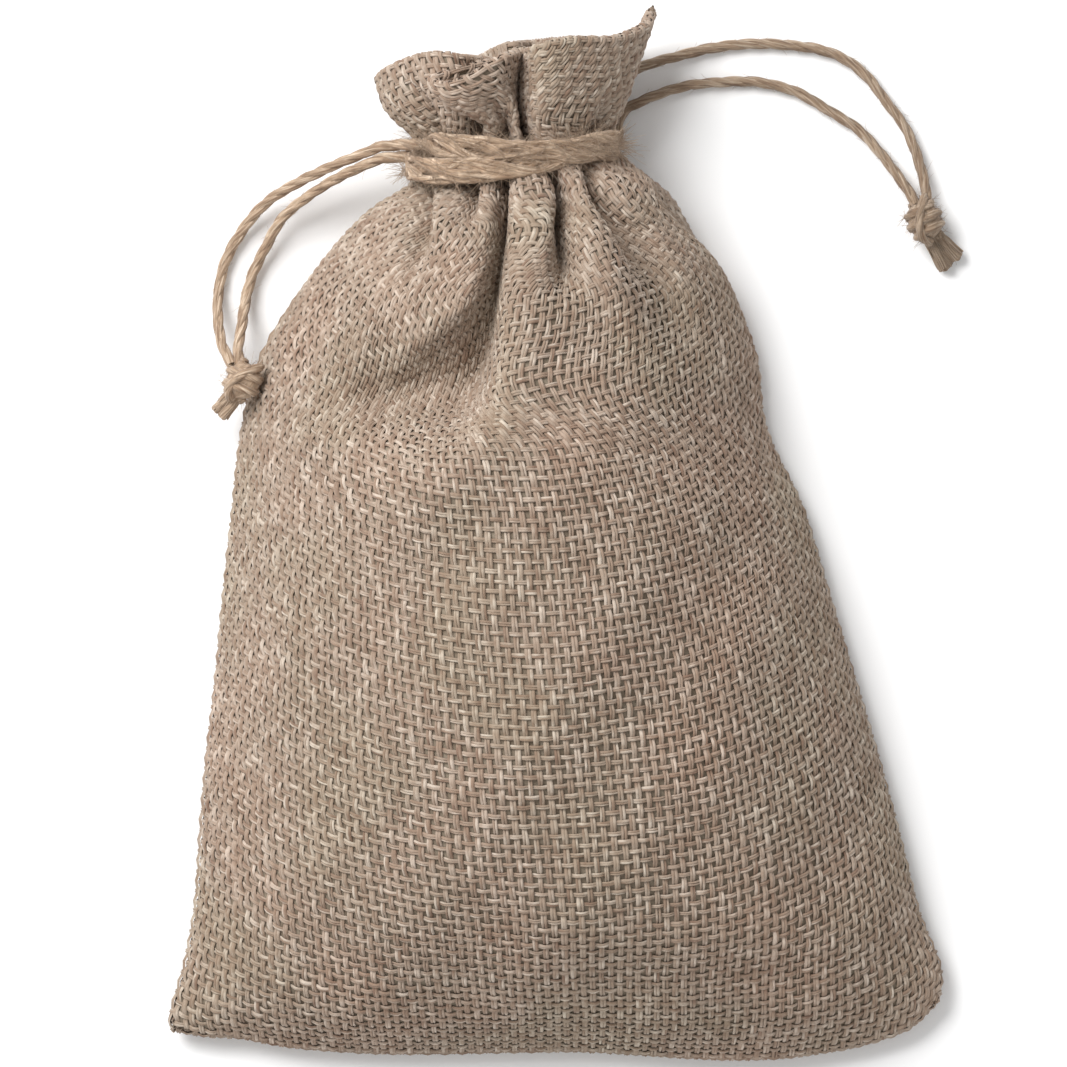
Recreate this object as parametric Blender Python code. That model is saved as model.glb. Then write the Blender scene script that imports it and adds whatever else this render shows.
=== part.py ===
"""Drawstring gift pouch, filled and pulled closed, lying on its back.

Frame: metres, +Z up, the table at z = 0 and the mouth towards +Y. The origin is
the centre of the pouch's plan, at table level. Lengths below are in millimetres
and are turned into metres where a mesh or a curve is made.
"""

import math

import bmesh
import bpy
import numpy as np

MM = 0.001

# The cloth.
CLOTH = 0.9            # wall of a panel
SEAM_GAP = 0.4         # between the two panels' sewn edges
COLUMNS = 20           # faces across a panel
ROWS = 30              # faces from the bottom seam to the rim
FULLNESS = (0.62, 1.0)  # at the bottom and the rim: 1 is a parabola across, 0.5 an ellipse
FLAT_SHARE = 0.72      # share of the back's width that lies on the table

# Each row from the bottom seam to the mouth's rim: the left edge (x, y), the
# right edge (x, y), the height of the side seams, the height of the front's
# crown, the lift of the back off the table and how round the back is (0 to 1).
PROFILE = (
    ((-50.2, -65.8), (49.4, -60.9), 3.0, 3.2, 2.8, 0.0),
    ((-50.2, -63.6), (50.1, -58.4), 3.0, 10.0, 0.0, 0.0),
    ((-49.8, -60.8), (50.0, -55.6), 3.0, 16.5, 0.0, 0.0),
    ((-48.3, -55.6), (48.1, -51.6), 3.0, 23.0, 0.0, 0.0),
    ((-47.0, -47.8), (46.3, -47.8), 3.0, 28.0, 0.0, 0.0),
    ((-46.4, -40.0), (44.3, -40.0), 3.0, 31.5, 0.0, 0.0),
    ((-45.7, -29.6), (41.5, -29.6), 3.0, 34.5, 0.0, 0.0),
    ((-44.4, -19.0), (38.3, -19.0), 3.0, 36.2, 0.0, 0.0),
    ((-43.2, -8.8), (35.2, -8.8), 3.0, 36.8, 0.0, 0.0),
    ((-42.0, 3.0), (31.6, 3.0), 3.0, 36.0, 0.0, 0.0),
    ((-40.8, 13.6), (27.4, 13.6), 2.8, 34.6, 0.0, 0.0),
    ((-38.2, 23.2), (25.5, 23.2), 3.2, 32.4, 0.0, 0.0),
    ((-32.4, 32.6), (22.0, 32.6), 5.2, 29.0, 0.0, 0.1),
    ((-25.5, 40.8), (16.4, 40.8), 7.8, 24.8, 0.6, 0.5),
    ((-19.6, 45.2), (10.8, 45.2), 9.6, 21.6, 1.9, 0.9),
    ((-17.2, 48.0), (7.4, 48.2), 10.4, 19.6, 2.8, 1.0),
    ((-17.4, 51.0), (7.4, 51.4), 10.4, 19.6, 2.8, 1.0),
    ((-22.2, 54.8), (9.2, 56.0), 9.8, 21.2, 2.4, 0.9),
    ((-23.9, 59.6), (12.7, 67.6), 9.4, 23.0, 2.4, 0.8),
)
BOTTOM_EDGE = ((-50.2, -65.8), (-44.0, -66.6), (-31.0, -67.5), (0.0, -67.6),
               (34.0, -67.9), (41.0, -66.4), (46.4, -64.0), (49.4, -60.9))
FRONT_RIM = ((-23.9, 59.6), (-16.1, 58.2), (-8.0, 60.2), (-3.3, 61.8),
             (5.0, 62.7), (9.0, 63.8), (12.7, 67.6))
BACK_RIM = ((-23.9, 59.6), (-15.5, 62.0), (-8.3, 62.9), (1.3, 64.6),
            (7.7, 64.6), (12.7, 67.6))

# Sewing thread.
THREAD = 0.5
THREAD_CLEAR = 0.35
SEAM_STEP = 6.0        # between points along a seam
CASING_STEP = 2.5
CASING_ROW = 27        # the row of a panel that the casing's stitches follow
SIDE_SEAM_SPAN = (0.03, 0.70)     # share of the way up the panel
BOTTOM_SEAM_SPAN = (0.04, 0.95)   # share of the way along the bottom edge

# Jute drawcords. Each goes once round the neck and is knotted to itself.
TWINE = 1.45
NECK_CENTRE = (-5.0, 11.2)        # x, z
NECK_LOOP_SIZE = (27.8, 19.8)     # centre line of a drawcord round the neck, x by z
LEFT_LOOP_Y = 50.3
RIGHT_LOOP_Y = 48.7
TUBE_STEP = 3.4        # between points along a cord

LEFT_PIVOT = (-21.9, 49.3)
LEFT_LEAD_Z = 9.9
LEFT_LEADS = {"upper": 50.05, "lower": 48.5}      # y of each lead
LEFT_LEAD_ENDS = (-19.9, -21.4)

RIGHT_PIVOT = (7.0, 52.3)
RIGHT_LEAD_Z = 2.9
RIGHT_LEADS = {"lower": 7.75, "upper": 6.2}       # x of each lead
RIGHT_LEAD_ENDS = (49.6, 51.8)

ROUTES = {
    "left_strand_outer": (
        (-22.6, 49.95, 9.8), (-25.4, 49.0, 8.8), (-30.6, 46.9, 6.4), (-34.4, 45.1, 4.5),
        (-37.8, 43.0, 2.9), (-41.0, 39.5, 1.5), (-43.4, 35.2, 1.05), (-44.3, 31.0, 1.3),
        (-44.2, 27.0, 3.4), (-43.4, 23.6, 5.7)),
    "left_strand_inner": (
        (-22.6, 48.4, 9.8), (-25.4, 47.4, 8.8), (-29.3, 45.6, 6.8), (-32.8, 43.4, 4.9),
        (-35.9, 40.8, 3.2), (-38.1, 37.1, 1.9), (-39.9, 33.4, 1.4), (-40.8, 29.7, 2.0),
        (-41.2, 26.6, 4.0), (-41.6, 23.8, 6.0)),
    "right_strand_upper": (
        (6.2, 53.1, 2.8), (7.2, 57.0, 2.2), (9.0, 59.6, 1.8), (11.7, 60.9, 1.4),
        (15.3, 61.9, 1.15), (20.3, 63.1, 1.0), (25.3, 63.6, 0.95), (30.2, 63.4, 0.95),
        (35.8, 62.3, 0.95), (39.6, 59.9, 0.95), (42.5, 56.3, 1.0), (45.2, 52.6, 1.15),
        (46.9, 48.3, 1.5), (47.8, 44.5, 2.1)),
    "right_strand_lower": (
        (7.75, 53.1, 2.8), (8.4, 54.6, 2.4), (10.4, 55.9, 2.0), (12.7, 56.9, 1.6),
        (16.7, 58.1, 1.2), (21.3, 58.6, 1.0), (25.8, 58.6, 0.95), (30.8, 57.4, 0.95),
        (35.2, 54.9, 0.95), (39.2, 52.3, 1.0), (42.2, 49.0, 1.2), (44.6, 45.8, 1.7),
        (45.6, 44.3, 2.0)),
}
KNOTS = {
    # centre, size across, size along, size up, turn about Z in degrees
    "left_knot": ((-40.9, 19.6, 7.9), 5.6, 6.0, 5.4, -35.0),
    "right_knot": ((47.6, 40.5, 2.75), 5.0, 6.2, 5.2, 25.0),
}
TAILS = {
    "left_tail_a": ((-43.75, 17.6, 6.9), (-44.7, 16.5, 5.9), (-45.4, 15.5, 4.9)),
    "left_tail_b": ((-42.5, 16.1, 6.9), (-43.3, 15.0, 5.9), (-43.9, 14.0, 4.9)),
    "right_tail_a": ((49.2, 36.6, 1.9), (50.6, 35.1, 1.3), (51.9, 33.9, 0.9)),
    "right_tail_b": ((50.65, 37.9, 1.9), (52.0, 36.6, 1.3), (53.4, 35.5, 0.9)),
}

LINEN = (0.42, 0.34, 0.26)
LINEN_BACK = (0.39, 0.31, 0.24)
JUTE = (0.47, 0.33, 0.20)
JUTE_KNOT = (0.44, 0.30, 0.18)
THREAD_COLOUR = (0.62, 0.56, 0.46)


def smooth_curve(points, places):
    """Points read from one smooth curve through the given points, at 0..1 places."""
    points = np.array(points, float)
    chords = np.linalg.norm(np.diff(points, axis=0), axis=1)
    knots = np.concatenate([[0.0], np.cumsum(chords)])
    slopes = np.gradient(points, knots, axis=0)
    at = np.clip(np.asarray(places, float), 0.0, 1.0) * knots[-1]
    i = np.clip(np.searchsorted(knots, at, side="right") - 1, 0, len(chords) - 1)
    span = chords[i][:, None]
    f = ((at - knots[i]) / chords[i])[:, None]
    return ((2 * f**3 - 3 * f**2 + 1) * points[i]
            + (f**3 - 2 * f**2 + f) * span * slopes[i]
            + (3 * f**2 - 2 * f**3) * points[i + 1]
            + (f**3 - f**2) * span * slopes[i + 1])


def curve_length(points):
    dense = smooth_curve(points, np.linspace(0, 1, 200))
    return float(np.linalg.norm(np.diff(dense, axis=0), axis=1).sum())


def profile_at(rows):
    """The profile's values at 0..1 up the panel, read smoothly between its rows."""
    table = np.array([(*left, *right, *rest) for left, right, *rest in PROFILE])
    place = np.asarray(rows) * (len(table) - 1)
    i = np.clip(place.astype(int), 0, len(table) - 2)
    f = (place - i)[:, None]
    slopes = np.gradient(table, axis=0)
    return ((2 * f**3 - 3 * f**2 + 1) * table[i] + (f**3 - 2 * f**2 + f) * slopes[i]
            + (3 * f**2 - 2 * f**3) * table[i + 1] + (f**3 - f**2) * slopes[i + 1])


def panel_grid(front):
    """A panel's outer surface: an array of rows by columns by (x, y, z)."""
    v = np.linspace(0, 1, ROWS + 1)
    # columns crowd towards the sides, where the cloth turns fastest
    across = 0.5 - 0.5 * np.cos(np.linspace(0, math.pi, COLUMNS + 1))
    s = 0.55 * across + 0.45 * np.linspace(0, 1, COLUMNS + 1)
    rows = profile_at(v)
    left, right = rows[:, 0:2], rows[:, 2:4]
    bottom = smooth_curve(BOTTOM_EDGE, s)
    top = smooth_curve(FRONT_RIM if front else BACK_RIM, s)
    sides = left[:, None] * (1 - s)[None, :, None] + right[:, None] * s[None, :, None]
    low = bottom - (left[0] * (1 - s)[:, None] + right[0] * s[:, None])
    high = top - (left[-1] * (1 - s)[:, None] + right[-1] * s[:, None])
    high_share = np.clip((v - 0.86) / 0.14, 0, 1)[:, None, None] ** 1.5
    plan = sides + low[None] * (1 - v)[:, None, None] ** 2 + high[None] * high_share
    u = np.abs(2 * s - 1)[None, :]
    seam, crown, lift, roundness = (rows[:, k][:, None] for k in range(4, 8))
    dome = (1 - u**2).clip(0) ** np.interp(v, (0, 1), FULLNESS)[:, None]
    if front:
        z = seam + SEAM_GAP / 2 + (crown - seam) * dome
    else:
        edge = ((u - FLAT_SHARE) / (1 - FLAT_SHARE)).clip(0) ** 2
        fall = (1 - edge) * (1 - roundness) + dome * roundness
        z = (seam - SEAM_GAP / 2) * (1 - fall) + lift * fall
    return np.concatenate([plan, z[:, :, None]], axis=2)


def outward(outer, front):
    """Unit vectors out of a panel. Those of its sewn edges lie level."""
    along = np.gradient(outer, axis=0)
    across = np.gradient(outer, axis=1)
    normal = np.cross(across, along)
    if not front:
        normal = -normal
    normal /= np.linalg.norm(normal, axis=2, keepdims=True)
    for column, sign in ((0, -1), (-1, 1)):
        edge = along[:, column]
        normal[:, column] = sign * np.stack([edge[:, 1], -edge[:, 0], 0 * edge[:, 0]], 1)
    edge = across[0]
    normal[0] = np.stack([edge[:, 1], -edge[:, 0], 0 * edge[:, 0]], 1)
    corner_left, corner_right = normal[0, 1] + normal[1, 0], normal[0, -2] + normal[1, -1]
    normal[0, 0], normal[0, -1] = corner_left, corner_right
    return normal / np.linalg.norm(normal, axis=2, keepdims=True)


def closed_panel(name, front, colour):
    outer = panel_grid(front)
    inner = outer - CLOTH * outward(outer, front)
    rows, columns = outer.shape[:2]
    count = rows * columns
    faces = []
    for j in range(rows - 1):
        for i in range(columns - 1):
            a = j * columns + i
            quad = (a, a + 1, a + columns + 1, a + columns)
            faces.append(quad)
            faces.append(tuple(reversed([k + count for k in quad])))
    rim = ([i for i in range(columns)]
           + [j * columns + columns - 1 for j in range(1, rows)]
           + [(rows - 1) * columns + i for i in range(columns - 2, -1, -1)]
           + [j * columns for j in range(rows - 2, 0, -1)])
    for a, b in zip(rim, rim[1:] + rim[:1]):
        faces.append((b, a, a + count, b + count))
    if not front:
        faces = [tuple(reversed(face)) for face in faces]
    vertices = np.concatenate([outer.reshape(-1, 3), inner.reshape(-1, 3)]) * MM
    return mesh_object(name, vertices, faces, colour, 0.9)


def mesh_object(name, vertices, faces, colour, roughness):
    mesh = bpy.data.meshes.new(name)
    mesh.from_pydata([tuple(v) for v in vertices], [], faces)
    mesh.shade_smooth()
    mesh.set_sharp_from_angle(angle=math.radians(50))
    return add(name, mesh, colour, roughness)


def material(name, colour, roughness):
    made = bpy.data.materials.new(name)
    made.use_nodes = True
    shader = made.node_tree.nodes["Principled BSDF"]
    shader.inputs["Base Color"].default_value = (*colour, 1)
    shader.inputs["Roughness"].default_value = roughness
    shader.inputs["Metallic"].default_value = 0.0
    return made


def add(name, data, colour, roughness):
    made = bpy.data.objects.new(name, data)
    bpy.context.scene.collection.objects.link(made)
    data.materials.append(material(name, colour, roughness))
    return made


def empty(name, x, y, z):
    """A joint's place. What it carries is parented to it."""
    made = bpy.data.objects.new(name, None)
    made.location = (x * MM, y * MM, z * MM)
    bpy.context.scene.collection.objects.link(made)
    return made


def tube(name, points, diameter, step, colour, parent=None):
    """A plain round tube with filled ends along a smooth route."""
    count = max(3, round(curve_length(points) / step) + 1)
    route = smooth_curve(points, np.linspace(0, 1, count))
    start = np.array(parent.location) / MM if parent else np.zeros(3)
    data = bpy.data.curves.new(name, "CURVE")
    data.dimensions = "3D"
    data.bevel_depth = diameter / 2 * MM
    data.bevel_resolution = 2
    data.render_resolution_u = 0
    data.use_fill_caps = True
    line = data.splines.new("POLY")
    line.points.add(len(route) - 1)
    for point, at in zip(line.points, route):
        point.co = (*((at - start) * MM), 1)
    made = add(name, data, colour, 0.85)
    made.parent = parent
    return made


def knot(name, centre, across, along, up, turn, parent):
    """A tight overhand knot of two twines, as one waisted ball."""
    shape = bmesh.new()
    bmesh.ops.create_uvsphere(shape, u_segments=16, v_segments=11, radius=0.5)
    for vertex in shape.verts:
        x, y, z = vertex.co
        waist = 1 - 0.08 * math.cos(6 * math.pi * y)
        vertex.co = (x * across * waist * MM, y * along * MM, z * up * waist * MM)
    bmesh.ops.triangulate(shape, faces=shape.faces[:])
    mesh = bpy.data.meshes.new(name)
    shape.to_mesh(mesh)
    shape.free()
    mesh.shade_smooth()
    made = add(name, mesh, JUTE_KNOT, 0.85)
    made.location = [(c - p / MM) * MM for c, p in zip(centre, parent.location)]
    made.rotation_euler = (0, 0, math.radians(turn))
    made.parent = parent
    return made


def neck_loop(name, y, opening_degrees, towards_left):
    """A drawcord's turn round the neck, open where its two ends leave it."""
    start = math.radians(180 if towards_left else -28)
    half = math.radians(opening_degrees) / 2
    angles = np.linspace(start + half, start + 2 * math.pi - half, 60)
    points = [(NECK_CENTRE[0] + NECK_LOOP_SIZE[0] / 2 * math.cos(a), y,
               NECK_CENTRE[1] + NECK_LOOP_SIZE[1] / 2 * math.sin(a)) for a in angles]
    return tube(name, points, TWINE, TUBE_STEP, JUTE)


def seam_thread(name, points, step=SEAM_STEP):
    return tube(name, points, THREAD, step, THREAD_COLOUR)


def outline_threads():
    """The stitching just outside the sewn sides and bottom, below the neck."""
    out = THREAD / 2 + THREAD_CLEAR
    rows = profile_at(np.linspace(*SIDE_SEAM_SPAN, 30))
    seam_thread("left_seam_thread", [(r[0] - out, r[1], r[4]) for r in rows])
    seam_thread("right_seam_thread", [(r[2] + out, r[3], r[4]) for r in rows])
    bottom = smooth_curve(BOTTOM_EDGE, np.linspace(*BOTTOM_SEAM_SPAN, 30))
    slope = np.gradient(bottom, axis=0)
    away = np.stack([slope[:, 1], -slope[:, 0]], 1)
    away /= np.linalg.norm(away, axis=1, keepdims=True)
    seam = PROFILE[0][2]
    seam_thread("bottom_seam_thread", [(*(p + out * a), seam)
                                       for p, a in zip(bottom, away)])


def casing_threads():
    """The stitch row above the drawcords, over the front and under the back."""
    out = THREAD / 2 + THREAD_CLEAR
    for name, front in (("front_casing_thread", True), ("back_casing_thread", False)):
        grid = panel_grid(front)
        line = (grid + out * outward(grid, front))[CASING_ROW, 2:-2]
        seam_thread(name, line, CASING_STEP)


def left_drawcord():
    neck_loop("left_neck_loop", LEFT_LOOP_Y, 34, True)
    start, end = LEFT_LEAD_ENDS
    pull = empty("left_pull_axis", end, LEFT_PIVOT[1], LEFT_LEAD_Z)
    for side, y in LEFT_LEADS.items():
        tube(f"left_lead_{side}", [(start, y, LEFT_LEAD_Z), (end, y, LEFT_LEAD_Z)],
             TWINE, TUBE_STEP, JUTE, pull)
    return empty("left_swing_axis", *LEFT_PIVOT, LEFT_LEAD_Z)


def right_drawcord():
    neck_loop("right_neck_loop", RIGHT_LOOP_Y, 34, False)
    start, end = RIGHT_LEAD_ENDS
    pull = empty("right_pull_axis", RIGHT_PIVOT[0], end, RIGHT_LEAD_Z)
    for side, x in RIGHT_LEADS.items():
        tube(f"right_lead_{side}", [(x, start, RIGHT_LEAD_Z), (x, end, RIGHT_LEAD_Z)],
             TWINE, TUBE_STEP, JUTE, pull)
    return empty("right_swing_axis", *RIGHT_PIVOT, RIGHT_LEAD_Z)


def main():
    for old in list(bpy.data.objects):
        bpy.data.objects.remove(old)
    closed_panel("front_panel", True, LINEN)
    closed_panel("back_panel", False, LINEN_BACK)
    outline_threads()
    casing_threads()
    swings = {"left": left_drawcord(), "right": right_drawcord()}
    bpy.context.view_layer.update()
    for name, points in ROUTES.items():
        tube(name, points, TWINE, TUBE_STEP, JUTE, swings[name.split("_")[0]])
    for name, values in KNOTS.items():
        knot(name, *values, swings[name.split("_")[0]])
    for name, points in TAILS.items():
        tube(name, points, TWINE, TUBE_STEP, JUTE_KNOT, swings[name.split("_")[0]])


main()
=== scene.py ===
"""How the drawstring gift pouch looks: woven cloth, twisted jute twine and stitches."""

import math

import bpy
import numpy as np
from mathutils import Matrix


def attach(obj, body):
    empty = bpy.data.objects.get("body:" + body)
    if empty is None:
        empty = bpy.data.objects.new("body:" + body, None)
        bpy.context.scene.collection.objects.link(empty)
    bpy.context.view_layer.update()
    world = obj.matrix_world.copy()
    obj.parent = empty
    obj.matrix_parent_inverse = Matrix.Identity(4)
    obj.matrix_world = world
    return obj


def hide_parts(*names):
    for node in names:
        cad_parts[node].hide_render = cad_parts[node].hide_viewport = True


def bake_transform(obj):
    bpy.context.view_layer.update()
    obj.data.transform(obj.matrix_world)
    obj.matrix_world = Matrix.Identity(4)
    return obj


MM = 0.001
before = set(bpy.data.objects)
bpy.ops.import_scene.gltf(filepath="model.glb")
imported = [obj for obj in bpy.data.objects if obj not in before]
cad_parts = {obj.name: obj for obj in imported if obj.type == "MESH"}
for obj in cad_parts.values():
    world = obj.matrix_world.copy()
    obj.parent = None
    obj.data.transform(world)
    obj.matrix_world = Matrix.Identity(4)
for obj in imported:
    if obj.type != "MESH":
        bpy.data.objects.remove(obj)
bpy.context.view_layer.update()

# ---- the pouch's shape
# Millimetres, in the frame's axes. Each row of PROFILE, from the bottom seam to the
# mouth's rim: left edge x, y; right edge x, y; height of the side seams; height of
# the front's crown; lift of the back off the table; how round the back is, 0 to 1.
PROFILE = (
    (-49.6, -64.4, 49.2, -60.9, 3.0, 3.2, 2.8, 0.0),
    (-49.7, -62.6, 49.6, -58.4, 3.0, 9.0, 0.0, 0.0),
    (-49.1, -60.2, 49.1, -55.6, 3.0, 14.4, 0.0, 0.0),
    (-47.8, -55.2, 47.4, -51.6, 3.0, 20.4, 0.0, 0.0),
    (-46.6, -47.8, 46.1, -47.8, 3.0, 26.4, 0.0, 0.0),
    (-46.1, -40.0, 44.2, -40.0, 3.0, 30.8, 0.0, 0.0),
    (-45.3, -29.6, 41.4, -29.6, 3.0, 34.2, 0.0, 0.0),
    (-44.1, -19.0, 38.2, -19.0, 3.0, 36.2, 0.0, 0.0),
    (-43.2, -8.8, 35.1, -8.8, 3.0, 36.8, 0.0, 0.0),
    (-42.0, 3.0, 31.5, 3.0, 3.0, 36.0, 0.0, 0.0),
    (-40.8, 13.6, 26.7, 13.6, 2.8, 34.8, 0.0, 0.0),
    (-38.2, 23.2, 25.4, 23.2, 3.2, 32.2, 0.0, 0.0),
    (-32.4, 32.6, 21.9, 32.6, 5.2, 28.6, 0.0, 0.1),
    (-25.3, 40.8, 16.8, 40.8, 7.8, 24.6, 0.6, 0.5),
    (-18.8, 45.2, 13.3, 45.2, 9.6, 21.6, 1.9, 0.9),
    (-17.2, 48.0, 9.0, 48.2, 10.4, 19.6, 2.8, 1.0),
    (-18.6, 51.0, 7.0, 51.2, 10.4, 19.6, 2.8, 1.0),
    (-22.2, 54.6, 8.8, 56.0, 9.8, 21.2, 2.4, 0.9),
    (-23.6, 58.7, 12.4, 67.0, 9.4, 23.0, 2.4, 0.8),
)
BOTTOM_EDGE = (
    (-50.0, -64.4), (-46.2, -65.3), (-41.5, -65.7), (-36.0, -66.7), (-30.0, -67.3), (0.0, -67.4),
    (34.0, -67.6), (40.6, -66.2), (46.2, -63.9), (49.2, -60.9),
)
FRONT_RIM = (
    (-23.6, 58.5), (-21.4, 59.4), (-18.2, 60.7), (-14.9, 61.2), (-12.1, 60.6), (-9.8, 59.0),
    (-7.9, 59.3), (-5.8, 60.8), (-3.6, 61.8), (1.4, 62.9), (7.0, 63.4), (10.2, 65.0),
    (12.4, 67.0),
)
BACK_RIM = (
    (-23.6, 58.7), (-19.5, 59.9), (-14.0, 60.6), (-10.5, 61.3), (-8.4, 62.4), (-6.0, 63.1),
    (-2.3, 63.7), (0.9, 63.9), (7.0, 63.7), (10.2, 65.0), (12.4, 67.0),
)
FULLNESS = (0.62, 1.0)
FLAT_SHARE = 0.72
SEAM_GAP = 0.4
# Where the right side seam rides up on the front: its middle, reach, how far in and up.
SEAM_TURN = (41.8, 4.6, 2.5, 2.6)
LOWEST = 0.5            # of the cloth's middle over the table

# Folds that gather the cloth at the neck. Each point of a crease: y, x, depth, and how
# far the cloth slopes into it from the left and from the right.
FRONT_FOLDS = (
    ((30, -19.5, 0.0, 2.4, 1.8), (36, -17.6, 2.2, 2.2, 1.8), (40.6, -17.0, 4.0, 1.9, 1.7),
     (44, -16.4, 4.8, 1.5, 1.3), (50, -15.4, 5.0, 1.4, 1.3), (53.5, -16.4, 2.2, 1.6, 1.6),
     (57, -17.8, 0.6, 1.8, 1.8), (62, -18.6, 0.0, 1.8, 1.8)),
    ((37.5, -11.8, 0.0, 1.4, 1.4), (41, -11.4, 3.0, 1.5, 1.4), (43.2, -11.2, 6.0, 1.5, 1.4),
     (47, -11.0, 7.5, 1.3, 1.2), (50, -10.8, 9.0, 1.3, 1.1), (52.6, -10.6, 12.0, 1.3, 1.0),
     (55.6, -11.4, 12.0, 1.2, 0.8), (59, -12.0, 12.0, 0.9, 0.6), (62, -12.1, 12.0, 0.7, 0.5)),
    ((7, -16.4, 0.0, 7.0, 3.6), (10, -15.0, 1.4, 9.0, 3.4), (13, -13.2, 5.6, 11.5, 3.0),
     (16, -11.6, 11.0, 13.0, 2.5), (19, -10.2, 13.4, 13.0, 2.0), (22, -9.2, 12.8, 11.5, 1.6),
     (25, -8.6, 10.8, 8.6, 1.3), (28, -8.2, 9.0, 5.0, 1.2), (33, -7.7, 7.6, 2.4, 1.1),
     (38, -7.2, 7.6, 1.8, 1.1),
     (44.4, -7.2, 8.0, 1.3, 1.1), (50, -6.8, 6.4, 1.2, 1.1),
     (53, -6.8, 3.4, 1.4, 1.4), (56, -7.0, 1.4, 1.6, 1.6), (60, -7.4, 0.0, 1.6, 1.6)),
    ((29, 1.2, 0.0, 3.6, 2.6), (31.5, 1.0, 2.2, 3.4, 2.4), (34, 0.9, 5.0, 2.8, 1.9),
     (36.5, 0.8, 7.2, 2.2, 1.6), (39, 0.7, 8.4, 1.9, 1.5), (43.5, 0.6, 8.4, 1.5, 1.3),
     (47, -1.2, 8.0, 1.2, 1.1), (50, -3.4, 9.0, 1.1, 1.0), (52, -4.0, 10.0, 1.4, 1.0),
     (55.0, -4.3, 10.5, 1.8, 1.1), (58.0, -4.2, 8.2, 1.5, 1.0), (61.0, -4.0, 5.6, 1.0, 0.8),
     (65, -3.8, 4.0, 0.8, 0.7)),
    ((30, 12.6, 0.0, 4.4, 5.0), (33, 11.2, 1.2, 4.0, 5.0), (36, 9.6, 3.6, 3.2, 4.4),
     (39, 7.9, 5.4, 2.8, 3.8), (42, 5.8, 6.2, 2.2, 2.8), (45, 4.4, 6.0, 1.4, 1.8),
     (49, 3.8, 5.0, 1.3, 1.4), (52, 4.4, 2.0, 1.5, 1.6), (55, 5.4, 0.4, 2.0, 2.0),
     (64, 6.5, 0.0, 2.0, 2.0)),
)
BACK_SLOPES = (2.0, 1.6, 1.4, 1.2, 1.2, 1.2)
BACK_CREASES = (
    ((24, -22, 0.0), (32, -19, 2.5), (40, -15, 6.0), (48, -12.5, 8.0), (56, -14, 5.0),
     (62, -16, 3.0)),
    ((26, -6, 0.0), (33, -5.5, 3.0), (40, -5.0, 7.0), (48, -5.0, 9.0), (56, -5.5, 6.0),
     (64, -6, 4.0)),
    ((24, 12, 0.0), (32, 9.5, 2.5), (40, 6.5, 6.0), (48, 2.5, 8.0), (56, 2.5, 5.0),
     (64, 3.0, 2.0)),
)
BACK_FOLDS = [[(*point, slope, slope) for point, slope in zip(crease, BACK_SLOPES)]
              for crease in BACK_CREASES]
# The mouth's second front fold rolls over to the left: y, how far its lip leans.
ROLLED_FOLD = 1
LEAN = ((52.5, 0.0), (55.5, 2.0), (58.5, 4.2), (61, 5.2))
LEAN_WAY = (-1.0, -0.42, 0.3)
LEAN_REACH = (3.0, 8.0)         # of cloth that leans, on the fold's left and right
SHALLOWEST = 0.02               # crease that is worth folding
GATHERING = (22, 44)            # y where the cloth starts to gather and where it has
GATHERED_SHARE = 0.75           # of the folds' aim that the neck's middle then takes
FOLD_AIMS = (8.0, 14.0)         # z that folds sink towards lower down, front and back
# Lip radius of the folds, in millimetres of cloth, up the pouch: y, radius.
LIPS = ((10, 2.6), (24, 1.5), (32, 1.0), (44, 0.75), (52, 0.75), (62, 0.9))
# How far the cloth between two creases stands out, up the pouch: y, height.
RIDGES = ((12, 0.0), (26, 0.5), (36, 1.4), (44, 1.3), (49, 0.2), (53, 1.0), (62, 1.2))
# Dents in the front: centre x, y; half width and half length; turn; depth (minus: a bump).
DENTS = (
    (-20.4, 17.8, 5.8, 5.8, -30.0, 4.0),
    (-24.6, 16.4, 4.2, 4.0, -30.0, 2.4),
    (-14.8, 5.4, 5.8, 9.0, -49.0, -2.5),
    (-13.4, 35.0, 2.6, 4.5, 8.0, -1.6),
    (-26.0, 28.0, 4.0, 8.0, -40.0, -1.4),
    (-4.0, 24.0, 4.0, 8.0, 6.0, -1.0),
    (7.0, 33.4, 2.9, 7.5, 24.0, -2.8),
    (13.4, 30.0, 2.8, 6.5, 26.0, 2.6),
    (11.0, 13.0, 12.0, 9.0, 20.0, -2.2),
    (-30.0, -20.0, 10.0, 22.0, 8.0, 0.9),
    (12.0, -30.0, 9.0, 26.0, -14.0, 0.9),
    (30.0, -44.0, 9.0, 12.0, 30.0, 0.8),
)

COLUMNS = 92            # paired warp yarns across a panel, with the two turned in at its edges
ROW_PITCH = 1.33        # between paired weft yarns
GRID_PER_COLUMN = 6
GRID_ROWS = 430
PLAIN_COLUMNS = 361     # points across a panel before it is folded
EVEN_SHARE = 0.4        # of their spacing: the rest crowds towards the seams
SEAM_SHARE = 0.3        # of the width that the riding seam pulls on
RIM_SHARE = 0.14        # of the height that the rim's outline bends
EDGE_RADIUS = 0.45      # of the cloth's turn at the sewn edges
EDGE_TURN = 2.8         # radians that it turns in there
HEM_TURN = 2.6          # radians at the mouth
HEM_DEPTH = 9.0         # cloth turned in at the mouth
HEM_RADIUS = 0.5
NECK_Y = 49.3           # the drawcords hide where the body's rows meet the frill's


def hermite(values, slopes, i, f, span=1.0):
    """Values a share f of the way from sample i to the next, on a smooth curve."""
    return ((2 * f**3 - 3 * f**2 + 1) * values[i]
            + (f**3 - 2 * f**2 + f) * span * slopes[i]
            + (3 * f**2 - 2 * f**3) * values[i + 1]
            + (f**3 - f**2) * span * slopes[i + 1])


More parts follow.
